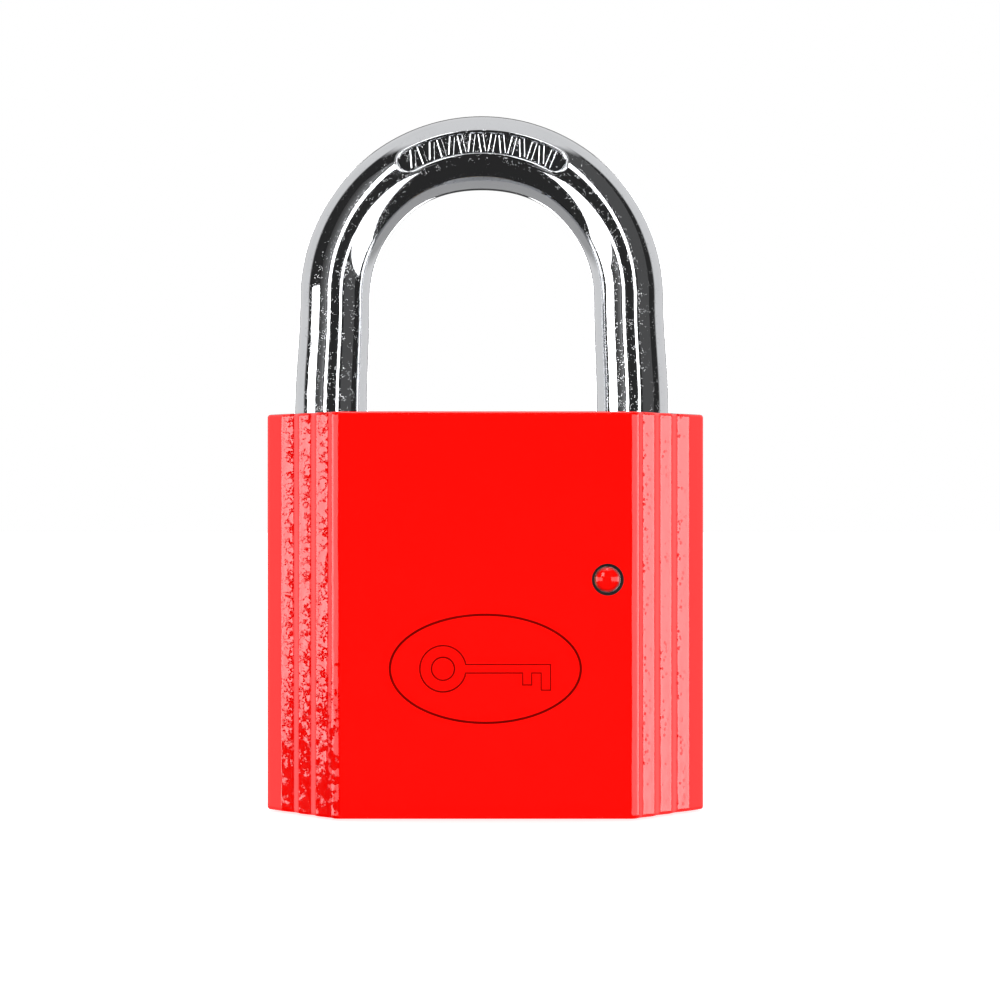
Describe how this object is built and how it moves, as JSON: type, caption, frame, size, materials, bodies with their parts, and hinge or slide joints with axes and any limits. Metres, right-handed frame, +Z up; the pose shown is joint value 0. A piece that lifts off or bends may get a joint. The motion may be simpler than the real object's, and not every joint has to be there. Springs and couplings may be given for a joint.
{
  "type": "padlock",
  "caption": "Padlock with a painted ribbed iron casting, a round chromed shackle that lifts when unlocked, and a pin tumbler cylinder keyed from below.",
  "frame": {"origin": "centre of the casting's flat base, which the padlock stands on", "axes": "+Z up through the shackle, +X towards the shackle's heel, -Y out of the engraved front face"},
  "size_m": [0.05, 0.022, 0.0798],
  "materials": {
    "red_paint": "gloss enamel over a slightly pitted iron casting",
    "chrome_plate": "polished chrome plate",
    "brass": "machined brass",
    "plain_steel": "turned and milled steel",
    "spring_steel": "drawn spring wire"
  },
  "bodies": {
    "casing": {"lock_body": "red_paint", "heel_retaining_pin": "red_paint", "cylinder_housing": "brass", "chamber_cover": "brass", "cylinder_retaining_pin": "plain_steel", "shackle_spring": "spring_steel", "latch_spring": "spring_steel", "pin_spring_1": "spring_steel", "pin_spring_2": "spring_steel", "pin_spring_3": "spring_steel", "pin_spring_4": "spring_steel", "pin_spring_5": "spring_steel"},
    "shackle_bow": {"shackle": "chrome_plate"},
    "plug_and_cam": {"plug": "brass", "plug_cam": "plain_steel", "cam_screw": "plain_steel"},
    "latch": {"latch_bolt": "plain_steel"},
    "key_pin_1": {"key_pin_1": "brass"},
    "key_pin_2": {"key_pin_2": "brass"},
    "key_pin_3": {"key_pin_3": "brass"},
    "key_pin_4": {"key_pin_4": "brass"},
    "key_pin_5": {"key_pin_5": "brass"},
    "driver_pin_1": {"driver_pin_1": "plain_steel"},
    "driver_pin_2": {"driver_pin_2": "plain_steel"},
    "driver_pin_3": {"driver_pin_3": "plain_steel"},
    "driver_pin_4": {"driver_pin_4": "plain_steel"},
    "driver_pin_5": {"driver_pin_5": "plain_steel"}
  },
  "joints": [
    {"name": "shackle_lift", "type": "slide", "parent": "casing", "child": "shackle_bow", "axis": [0, 0, 1], "range_m": [0, 0.013], "deforming": ["shackle_spring"]},
    {"name": "plug_turn", "type": "hinge", "parent": "casing", "child": "plug_and_cam", "pos_m": [0, 0, 0.0005], "axis": [0, 0, 1], "range_deg": [0, 90]},
    {"name": "latch_slide", "type": "slide", "parent": "casing", "child": "latch", "axis": [1, 0, 0], "range_m": [-0.0032, 0], "deforming": ["latch_spring"]},
    {"name": "key_pin_1_slide", "type": "slide", "parent": "plug_and_cam", "child": "key_pin_1", "axis": [-1, 0, 0], "range_m": [-0.0022, 0]},
    {"name": "key_pin_2_slide", "type": "slide", "parent": "plug_and_cam", "child": "key_pin_2", "axis": [-1, 0, 0], "range_m": [-0.0013, 0]},
    {"name": "key_pin_3_slide", "type": "slide", "parent": "plug_and_cam", "child": "key_pin_3", "axis": [-1, 0, 0], "range_m": [-0.0019, 0]},
    {"name": "key_pin_4_slide", "type": "slide", "parent": "plug_and_cam", "child": "key_pin_4", "axis": [-1, 0, 0], "range_m": [-0.0007, 0]},
    {"name": "key_pin_5_slide", "type": "slide", "parent": "plug_and_cam", "child": "key_pin_5", "axis": [-1, 0, 0], "range_m": [-0.0016, 0]},
    {"name": "driver_pin_1_slide", "type": "slide", "parent": "casing", "child": "driver_pin_1", "axis": [-1, 0, 0], "range_m": [-0.0022, 0], "deforming": ["pin_spring_1"]},
    {"name": "driver_pin_2_slide", "type": "slide", "parent": "casing", "child": "driver_pin_2", "axis": [-1, 0, 0], "range_m": [-0.0013, 0], "deforming": ["pin_spring_2"]},
    {"name": "driver_pin_3_slide", "type": "slide", "parent": "casing", "child": "driver_pin_3", "axis": [-1, 0, 0], "range_m": [-0.0019, 0], "deforming": ["pin_spring_3"]},
    {"name": "driver_pin_4_slide", "type": "slide", "parent": "casing", "child": "driver_pin_4", "axis": [-1, 0, 0], "range_m": [-0.0007, 0], "deforming": ["pin_spring_4"]},
    {"name": "driver_pin_5_slide", "type": "slide", "parent": "casing", "child": "driver_pin_5", "axis": [-1, 0, 0], "range_m": [-0.0016, 0], "deforming": ["pin_spring_5"]}
  ],
  "couplings": [
    {"joint": "driver_pin_1_slide", "follows": "key_pin_1_slide", "ratio": 1},
    {"joint": "driver_pin_2_slide", "follows": "key_pin_2_slide", "ratio": 1},
    {"joint": "driver_pin_3_slide", "follows": "key_pin_3_slide", "ratio": 1},
    {"joint": "driver_pin_4_slide", "follows": "key_pin_4_slide", "ratio": 1},
    {"joint": "driver_pin_5_slide", "follows": "key_pin_5_slide", "ratio": 1}
  ]
}
